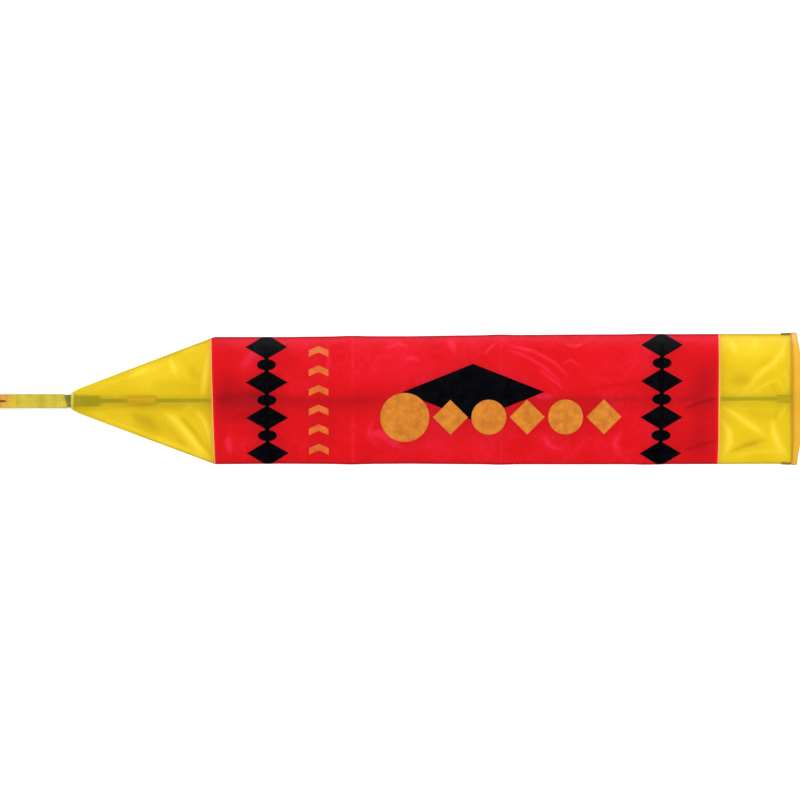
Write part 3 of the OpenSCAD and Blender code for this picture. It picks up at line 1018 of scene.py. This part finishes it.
def back_seam(name, ends, material, node):
    """The felled seam along the back of the sock, inside."""
    half = size(node, 1) / 2
    outline = [(-1, 0.0), (-0.94, 0.42), (-0.8, 0.6), (0, FELL_T), (0.8, 0.6), (0.94, 0.42), (1, 0.0), (0, -0.02)]
    sections = []
    for s in np.append(np.arange(*ends, 12.0), ends[1]):
        sway = 0.5 * sin(s / 90.0)
        base = lower_z(s, 0.0) + 0.06
        sections.append([(s, sway + y * half, base + z) for y, z in outline])
    swept(name, sections, "sock", material, node)


def make_back_seams():
    for node, ends, material, yarn in (
        ("cone_back_seam", (4.0, CONE_END - 2), "seam_yellow", "pale_thread"),
        ("barrel_back_seam", (CONE_END + 9, BARREL_END - 9), "seam_red", "brown_thread"),
        ("band_back_seam", (BARREL_END + 3, BAND_END - 3), "seam_yellow", "pale_thread"),
    ):
        name = node + "_fell"
        back_seam(name, ends, material, node)
        runs = [line_run((ends[0] + 2, side), (ends[1] - 2, side), lambda s: lower_z(s, 0.0) + FELL_T)
                for side in (-2.1, 2.1)]
        stitches(name + "_stitches", runs, yarn, material)


def make_seam_stitches():
    for name, edge, offset, lift, yarn, slot in (
        ("cone_seam", cone_edge, -2.6, 0.12, "pale_thread", "seam_yellow"),
        ("cone_seam_red", cone_edge, 3.0, 0.12, "red_thread", "seam_yellow"),
        ("band_seam_red", barrel_edge, -3.0, 0.12, "red_thread", "seam_red"),
        ("band_seam", barrel_edge, 2.6, 0.12, "pale_thread", "seam_red"),
        ("mouth_hem", hem_line, 2.4, 0.8, "brown_thread", "hem_nylon"),
    ):
        runs = [ring_run(edge, offset, above, lift) for above in (True, False)]
        stitches(name + "_stitches", runs, yarn, slot, high=0.22)


HINGE_BEND = (-5.0, -18.0)      # stations given as the ends of the tape's bend; no bend is made from them


def make_tail():
    """The tape outside the tip: green webbing from inside the sock, then yellow tape, then the orange end loop."""
    bend = ("sock", "tail", *HINGE_BEND)
    web_w = size("tip_pocket", 1)
    thick = size("tail_tape", 2)

    green = np.concatenate([np.linspace(27, 0, 8), np.linspace(-1.5, -24, 16)])
    inside = GROUND + 2.4
    # the part inside the sock is painted darker as shade
    tape("tip_webbing", green, lambda s: TAPE_Z - 1.0 + (inside - TAPE_Z + 1.0) * smooth(s / 24),
         lambda s: web_w + 3.0 * smooth((8 - s) / 8), SLEEVE_T,
         lambda s: 0.15 + 0.55 * smooth(-s / 6) + 0.1 * sin(s / 5), 0.0,
         bend, "green_webbing", "tip_pocket")

    yellow = np.concatenate([np.linspace(TAPE_START - 1, -21, 9), np.linspace(-23.5, TAPE_END, 36)])
    # The light bands along the yellow tape are painted highlights of its creases.
    tape("tail_tape_yellow", yellow, lambda s: TAPE_Z + 0.1 * sin(s / 9.0), lambda s: TAPE_W, thick - 0.3,
         lambda s: 0.55 + 0.07 * sin(s / 8.0) + 0.10 * sin(s / 3.7 + 1), 0.28,
         bend, "yellow_webbing", "tail_tape")
    top = TAPE_Z + thick / 2 - 0.1
    runs = box_runs(TAPE_START - 7, TAPE_START - 16, TAPE_W / 2 - 3, lambda s: top)
    for y in (-TAPE_W / 2 + 2, TAPE_W / 2 - 2):
        runs.append(line_run((TAPE_END + 3, y), (TAPE_START - 18, y), lambda s: top))
    stitches("tail_tape_stitches", runs, "pale_thread", "yellow_webbing", body=bend)
    make_end_loop(thick)


def make_end_loop(thick):
    """Two plies of orange tape with a slit in the upper one, and a bar at the end for the swivel."""
    half, ply = TAPE_W / 2, thick / 2 - 0.03
    far = EYE_AT - BAR_W / 2
    near = EYE_AT + BAR_W / 2
    end_r = 9.0          # radius of the loop's outer corners
    inset = 0.3          # how far the under ply stays inside the upper one
    slit_end = TAPE_END - 12.0

    def half_at(s):
        inside = min(max(s - far, 0.0), end_r)
        return half - end_r + sqrt(end_r ** 2 - (end_r - inside) ** 2)

    def slit_at(s):
        return SLIT_W / 2 - 0.9 * smooth((s - slit_end + 6) / 6)

    def strip(name, stations, y_from, y_to, z, tone, *nodes):
        sections = []
        for s in stations:
            a, b = y_from(s), y_to(s)
            outline = [(a, 0), (a + 0.12, ply / 2), (a + 0.5, ply / 2), ((a + b) / 2, ply / 2), (b - 0.5, ply / 2),
                       (b - 0.12, ply / 2), (b, 0), (b - 0.12, -ply / 2), ((a + b) / 2, -ply / 2), (a + 0.12, -ply / 2)]
            sections.append([(s, y, z + dz) for y, dz in outline])
        swept(name, sections, "tail", "orange_webbing", *nodes, tone=[tone(s) for s in stations])

    def glow(s):
        """Brown at the far end, then orange, then the yellow tape's own dye."""
        return 0.2 + 0.45 * smooth((s + 141) / 16) + 0.45 * smooth((s + 114) / 14)

    upper, lower = TAPE_Z + ply / 2, TAPE_Z - ply / 2
    head = np.linspace(slit_end, TAPE_END + 6, 10)
    sides = np.linspace(near, slit_end, 14)
    bar = np.linspace(far + 0.02, near, 14)
    strip("end_loop_head", head, lambda s: -half, lambda s: half, upper, glow, "tail_loop")
    strip("end_loop_side_left", sides, slit_at, half_at, upper, glow)
    strip("end_loop_side_right", sides, lambda s: -half_at(s), lambda s: -slit_at(s), upper, glow)
    strip("end_loop_bar", bar, lambda s: -half_at(s), half_at, upper, glow)
    # The under ply is painted darker, as shade beneath the upper ply.
    under = np.linspace(near + 4.5, TAPE_END + 1, 12)
    strip("end_loop_under", under, lambda s: -half + inset, lambda s: half - inset, lower, lambda s: -0.35)
    strip("end_loop_under_bar", bar, lambda s: -half_at(s) + inset, lambda s: half_at(s) - inset, lower, lambda s: -0.2)
    top, edge, start, end = upper + ply / 2, half - 1.8, near + 2, TAPE_END - 2
    slit = SLIT_W / 2 + 1.6
    runs = [line_run((start, y), (end, y), lambda s: top) for y in (-edge, edge, -slit, slit)]
    runs.append(line_run((end, -edge), (end, edge), lambda s: top))
    stitches("end_loop_stitches", runs, "pale_thread", "orange_webbing", body="tail")


def make_sleeves():
    """The webbing that holds the pole inside the sock."""
    for node, start, material in (
        ("tip_pocket", 24.0, "green_webbing"),
        ("pole_loop", span("pole_loop")[0], "orange_webbing"),
        ("mouth_tab", span("mouth_tab")[0], "tab_webbing"),
    ):
        name, end, width = node + "_sleeve", span(node)[1], size(node, 1)
        wing_top = sleeve(name, (start, end), width, material, node)
        rows = [width / 2 - inset for inset in ((1.0, 2.6) if width > 16 else (0.8,))]
        runs = [line_run((start + 2, side * y), (end - 2, side * y), lambda s: wing_top)
                for side in (-1, 1) for y in rows]
        stitches(name + "_stitches", runs, "brown_thread", material)


def make_edge_shade_pieces():
    """Short dark loops round the folded edges at the mouth: painted shade where the hem's folded corners lie in shade.
    """
    s0, s1 = span("edge_tabs")
    stations = np.linspace(s0 + 3, s1, 10)
    for side, name in ((1, "edge_shade_piece_left"), (-1, "edge_shade_piece_right")):
        sections = []
        for s in stations:
            edge = half_width(s)
            line = [(edge - d, upper_z(s, edge - d) + 0.4) for d in (3.2, 1.2)]
            line += [(edge + 0.2, 1.5), (edge + 0.5, 0.9), (edge - 0.3, 0.35)]
            sections.append([(s, side * y, z) for y, z in offset_loop(line, 0.3)])
        # dark pieces that stand for the shade at the mouth's folded corners
        swept(name, sections, "sock", "tab_webbing", "edge_tabs", tone=0.35)


def make_swivel_body():
    """The swivel's turned brass body, with rounded shoulders, two grooves and a hollow for the stems."""
    start, end = span("swivel_barrel")
    radius = size("swivel_barrel", 1) / 2
    shoulder = [(0, 0.55), (0.02, 0.62), (0.10, 0.66), (0.13, 0.74), (0.18, 0.88), (0.25, 0.97), (0.32, 1.0),
                (0.40, 1.0), (0.415, 0.95), (0.445, 0.95), (0.46, 1.0)]
    hollow = [(0.15, SWIVEL_HOLLOW / radius), (0.15, SWIVEL_BORE / radius), (0, SWIVEL_BORE / radius)]
    outline = shoulder + [(1 - a, r) for a, r in reversed(shoulder)]
    outline += [(1 - a, r) for a, r in reversed(hollow)] + hollow
    turn = np.linspace(0, 2 * pi, 32, endpoint=False)
    rows = [place(start + (end - start) * a, radius * r * np.sin(turn), TAPE_Z + radius * r * np.cos(turn))
            for a, r in outline + outline[:1]]
    obj = mesh_object("swivel_body_turned", np.array(rows), ring_faces(len(rows), len(turn)))
    finish_piece(outward(obj), "swivel", "swivel_brass", "swivel_barrel")


# ---- Putting it together

def finish_hardware():
    """The CAD nodes that stay, with their materials."""
    for material, nodes in (
        ("swivel_steel", ("swivel_eye", "snap_hook", "snap_gate", "pole_pin")),
        ("pole_fibreglass", ("pole_upper", "pole_lower")),
        ("cap_rubber", ("pole_cap", "pole_collar")),
    ):
        for node in nodes:
            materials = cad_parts[node].data.materials
            materials.clear()
            materials.append(MATERIALS[material])


make_camera()
make_floor()
make_light()
bpy.context.scene.view_settings.view_transform = "Standard"
panels = make_panels()
make_prints()
make_back_seams()
make_seam_stitches()
make_sleeves()
make_edge_shade_pieces()
make_tail()
make_swivel_body()
finish_hardware()
